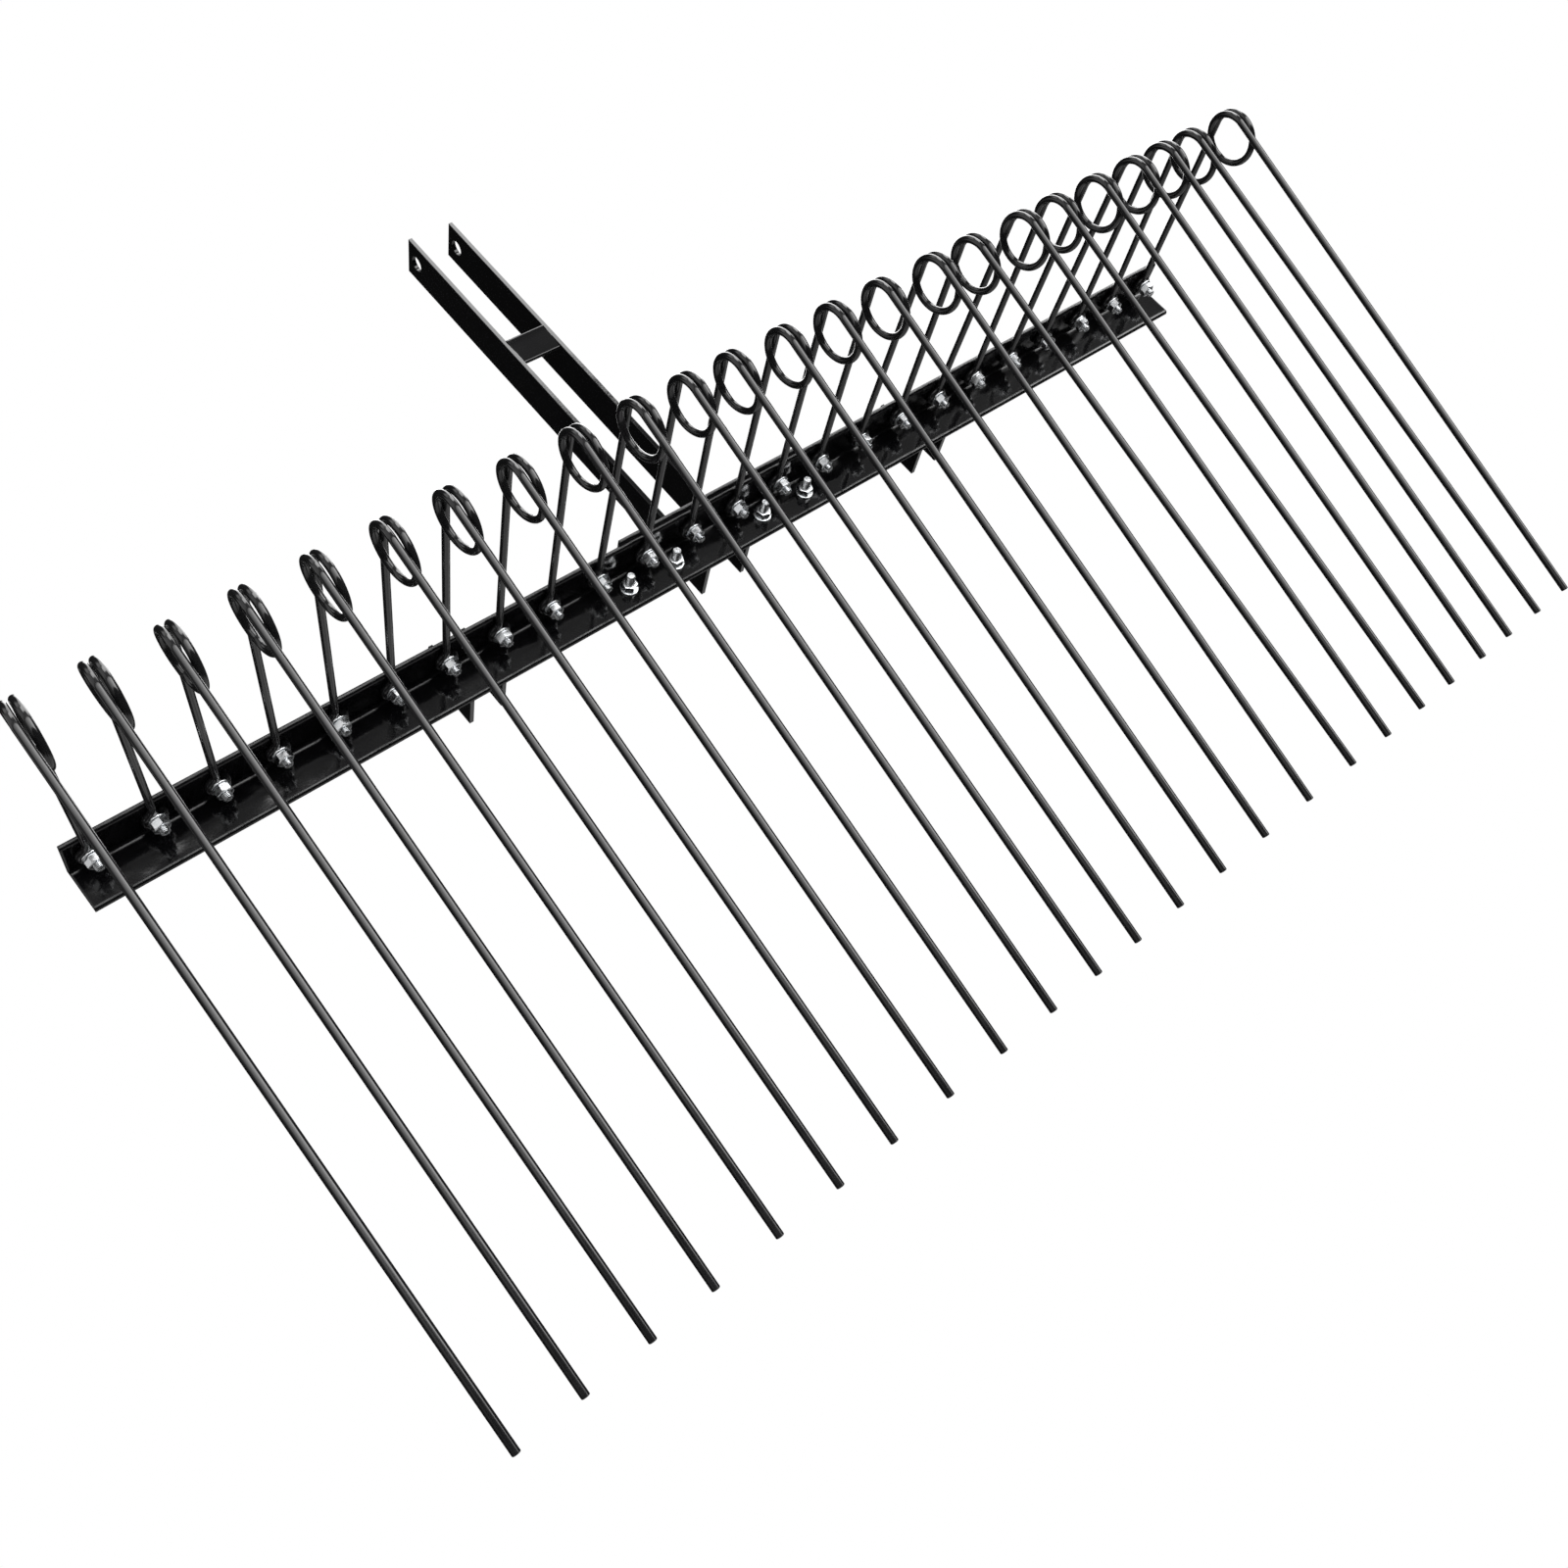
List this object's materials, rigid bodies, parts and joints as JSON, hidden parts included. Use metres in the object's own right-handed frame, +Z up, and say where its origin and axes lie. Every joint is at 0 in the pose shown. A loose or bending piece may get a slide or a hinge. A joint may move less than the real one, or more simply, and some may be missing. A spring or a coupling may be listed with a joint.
{
  "type": "three-point hitch pine straw rake",
  "caption": "Steel angle toolbar with a row of coil-spring wire tines, a two-bar mast and two pairs of hitch lugs, for raking straw and leaves behind a small tractor.",
  "frame": {"origin": "middle of the top link pin hole, midway between the two mast bars", "axes": "+X along the toolbar to the right seen from behind, +Y forward to the tractor, +Z up"},
  "size_m": [1.5303, 0.3816, 1.2231],
  "materials": {
    "black_powder_coat": "gloss black powder coat",
    "black_spring_wire": "satin black enamelled spring steel wire",
    "zinc_plated_steel": "bright zinc plate"
  },
  "bodies": {
    "root": {"toolbar_angle": "black_powder_coat", "hitch_bracket_angle": "black_powder_coat", "mast_bar_left": "black_powder_coat", "mast_bar_right": "black_powder_coat", "mast_cross_plate": "black_powder_coat", "lower_lugs_left": "black_powder_coat", "lower_lugs_right": "black_powder_coat", "tine_bolts": "zinc_plated_steel", "hitch_bolts": "zinc_plated_steel", "hex_nuts": "zinc_plated_steel", "flat_washers": "zinc_plated_steel", "tine_01_spring": "black_spring_wire", "tine_02_spring": "black_spring_wire", "tine_03_spring": "black_spring_wire", "tine_04_spring": "black_spring_wire", "tine_05_spring": "black_spring_wire", "tine_06_spring": "black_spring_wire", "tine_07_spring": "black_spring_wire", "tine_08_spring": "black_spring_wire", "tine_09_spring": "black_spring_wire", "tine_10_spring": "black_spring_wire", "tine_11_spring": "black_spring_wire", "tine_12_spring": "black_spring_wire", "tine_13_spring": "black_spring_wire", "tine_14_spring": "black_spring_wire", "tine_15_spring": "black_spring_wire", "tine_16_spring": "black_spring_wire", "tine_17_spring": "black_spring_wire", "tine_18_spring": "black_spring_wire", "tine_19_spring": "black_spring_wire", "tine_20_spring": "black_spring_wire", "tine_21_spring": "black_spring_wire", "tine_22_spring": "black_spring_wire", "tine_23_spring": "black_spring_wire", "tine_24_spring": "black_spring_wire"},
    "tine_01": {"tine_01_leg": "black_spring_wire"},
    "tine_02": {"tine_02_leg": "black_spring_wire"},
    "tine_03": {"tine_03_leg": "black_spring_wire"},
    "tine_04": {"tine_04_leg": "black_spring_wire"},
    "tine_05": {"tine_05_leg": "black_spring_wire"},
    "tine_06": {"tine_06_leg": "black_spring_wire"},
    "tine_07": {"tine_07_leg": "black_spring_wire"},
    "tine_08": {"tine_08_leg": "black_spring_wire"},
    "tine_09": {"tine_09_leg": "black_spring_wire"},
    "tine_10": {"tine_10_leg": "black_spring_wire"},
    "tine_11": {"tine_11_leg": "black_spring_wire"},
    "tine_12": {"tine_12_leg": "black_spring_wire"},
    "tine_13": {"tine_13_leg": "black_spring_wire"},
    "tine_14": {"tine_14_leg": "black_spring_wire"},
    "tine_15": {"tine_15_leg": "black_spring_wire"},
    "tine_16": {"tine_16_leg": "black_spring_wire"},
    "tine_17": {"tine_17_leg": "black_spring_wire"},
    "tine_18": {"tine_18_leg": "black_spring_wire"},
    "tine_19": {"tine_19_leg": "black_spring_wire"},
    "tine_20": {"tine_20_leg": "black_spring_wire"},
    "tine_21": {"tine_21_leg": "black_spring_wire"},
    "tine_22": {"tine_22_leg": "black_spring_wire"},
    "tine_23": {"tine_23_leg": "black_spring_wire"},
    "tine_24": {"tine_24_leg": "black_spring_wire"}
  },
  "joints": [
    {"name": "tine_01_flex", "type": "hinge", "parent": "root", "child": "tine_01", "pos_m": [-0.75708, -0.32249, -0.5608], "axis": [-0.999, 0.0436, -0.0017], "range_deg": [-8, 20], "stiffness_Nm_per_rad": 160, "deforming": ["tine_01_spring"]},
    {"name": "tine_02_flex", "type": "hinge", "parent": "root", "child": "tine_02", "pos_m": [-0.69167, -0.32256, -0.56079], "axis": [-0.9992, 0.0393, 0], "range_deg": [-8, 20], "stiffness_Nm_per_rad": 160, "deforming": ["tine_02_spring"]},
    {"name": "tine_03_flex", "type": "hinge", "parent": "root", "child": "tine_03", "pos_m": [-0.62734, -0.32256, -0.5608], "axis": [-0.9992, 0.0393, -0.0009], "range_deg": [-8, 20], "stiffness_Nm_per_rad": 160, "deforming": ["tine_03_spring"]},
    {"name": "tine_04_flex", "type": "hinge", "parent": "root", "child": "tine_04", "pos_m": [-0.56193, -0.32263, -0.56078], "axis": [-0.9994, 0.0349, 0.0009], "range_deg": [-8, 20], "stiffness_Nm_per_rad": 160, "deforming": ["tine_04_spring"]},
    {"name": "tine_05_flex", "type": "hinge", "parent": "root", "child": "tine_05", "pos_m": [-0.49522, -0.32275, -0.56081], "axis": [-0.9997, 0.0262, -0.0026], "range_deg": [-8, 20], "stiffness_Nm_per_rad": 160, "deforming": ["tine_05_spring"]},
    {"name": "tine_06_flex", "type": "hinge", "parent": "root", "child": "tine_06", "pos_m": [-0.4274, -0.3229, -0.56082], "axis": [-0.9999, 0.0131, -0.0044], "range_deg": [-8, 20], "stiffness_Nm_per_rad": 160, "deforming": ["tine_06_spring"]},
    {"name": "tine_07_flex", "type": "hinge", "parent": "root", "child": "tine_07", "pos_m": [-0.36317, -0.3229, -0.5608], "axis": [-0.9999, 0.0131, -0.0017], "range_deg": [-8, 20], "stiffness_Nm_per_rad": 160, "deforming": ["tine_07_spring"]},
    {"name": "tine_08_flex", "type": "hinge", "parent": "root", "child": "tine_08", "pos_m": [-0.29532, -0.323, -0.56082], "axis": [-1, 0, -0.0044], "range_deg": [-8, 20], "stiffness_Nm_per_rad": 160, "deforming": ["tine_08_spring"]},
    {"name": "tine_09_flex", "type": "hinge", "parent": "root", "child": "tine_09", "pos_m": [-0.22634, -0.32306, -0.56083], "axis": [-0.9998, -0.0175, -0.0061], "range_deg": [-8, 20], "stiffness_Nm_per_rad": 160, "deforming": ["tine_09_spring"]},
    {"name": "tine_10_flex", "type": "hinge", "parent": "root", "child": "tine_10", "pos_m": [-0.15859, -0.32306, -0.56082], "axis": [-0.9995, -0.0305, -0.0052], "range_deg": [-8, 20], "stiffness_Nm_per_rad": 160, "deforming": ["tine_10_spring"]},
    {"name": "tine_11_flex", "type": "hinge", "parent": "root", "child": "tine_11", "pos_m": [-0.0978, -0.32306, -0.56081], "axis": [-0.9998, -0.0175, -0.0035], "range_deg": [-8, 20], "stiffness_Nm_per_rad": 160, "deforming": ["tine_11_spring"]},
    {"name": "tine_12_flex", "type": "hinge", "parent": "root", "child": "tine_12", "pos_m": [-0.04064, -0.32294, -0.56077], "axis": [-1, 0.0087, 0.0035], "range_deg": [-8, 20], "stiffness_Nm_per_rad": 160, "deforming": ["tine_12_spring"]},
    {"name": "tine_13_flex", "type": "hinge", "parent": "root", "child": "tine_13", "pos_m": [0.02585, -0.323, -0.56074], "axis": [-1, 0, 0.0079], "range_deg": [-8, 20], "stiffness_Nm_per_rad": 160, "deforming": ["tine_13_spring"]},
    {"name": "tine_14_flex", "type": "hinge", "parent": "root", "child": "tine_14", "pos_m": [0.09131, -0.32303, -0.56074], "axis": [-1, -0.0044, 0.0079], "range_deg": [-8, 20], "stiffness_Nm_per_rad": 160, "deforming": ["tine_14_spring"]},
    {"name": "tine_15_flex", "type": "hinge", "parent": "root", "child": "tine_15", "pos_m": [0.15803, -0.32306, -0.56076], "axis": [-0.9999, -0.0131, 0.0044], "range_deg": [-8, 20], "stiffness_Nm_per_rad": 160, "deforming": ["tine_15_spring"]},
    {"name": "tine_16_flex", "type": "hinge", "parent": "root", "child": "tine_16", "pos_m": [0.23289, -0.32295, -0.5608], "axis": [-0.9986, -0.0523, -0.0009], "range_deg": [-8, 20], "stiffness_Nm_per_rad": 160, "deforming": ["tine_16_spring"]},
    {"name": "tine_17_flex", "type": "hinge", "parent": "root", "child": "tine_17", "pos_m": [0.29084, -0.32305, -0.56091], "axis": [-0.9994, -0.0262, -0.0209], "range_deg": [-8, 20], "stiffness_Nm_per_rad": 160, "deforming": ["tine_17_spring"]},
    {"name": "tine_18_flex", "type": "hinge", "parent": "root", "child": "tine_18", "pos_m": [0.36753, -0.3227, -0.56085], "axis": [-0.9972, -0.0741, -0.0096], "range_deg": [-8, 20], "stiffness_Nm_per_rad": 160, "deforming": ["tine_18_spring"]},
    {"name": "tine_19_flex", "type": "hinge", "parent": "root", "child": "tine_19", "pos_m": [0.42156, -0.32304, -0.56087], "axis": [-0.9993, -0.0349, -0.014], "range_deg": [-8, 20], "stiffness_Nm_per_rad": 160, "deforming": ["tine_19_spring"]},
    {"name": "tine_20_flex", "type": "hinge", "parent": "root", "child": "tine_20", "pos_m": [0.4889, -0.32299, -0.56078], "axis": [-0.9988, -0.048, 0.0009], "range_deg": [-8, 20], "stiffness_Nm_per_rad": 160, "deforming": ["tine_20_spring"]},
    {"name": "tine_21_flex", "type": "hinge", "parent": "root", "child": "tine_21", "pos_m": [0.55308, -0.32299, -0.56076], "axis": [-0.9988, -0.048, 0.0052], "range_deg": [-8, 20], "stiffness_Nm_per_rad": 160, "deforming": ["tine_21_spring"]},
    {"name": "tine_22_flex", "type": "hinge", "parent": "root", "child": "tine_22", "pos_m": [0.60559, -0.32303, -0.56071], "axis": [-0.9999, -0.0044, 0.0131], "range_deg": [-8, 20], "stiffness_Nm_per_rad": 160, "deforming": ["tine_22_spring"]},
    {"name": "tine_23_flex", "type": "hinge", "parent": "root", "child": "tine_23", "pos_m": [0.65614, -0.32239, -0.56073], "axis": [-0.9988, 0.048, 0.0096], "range_deg": [-8, 20], "stiffness_Nm_per_rad": 160, "deforming": ["tine_23_spring"]},
    {"name": "tine_24_flex", "type": "hinge", "parent": "root", "child": "tine_24", "pos_m": [0.72696, -0.32279, -0.56064], "axis": [-0.9995, 0.0218, 0.0236], "range_deg": [-8, 20], "stiffness_Nm_per_rad": 160, "deforming": ["tine_24_spring"]}
  ]
}
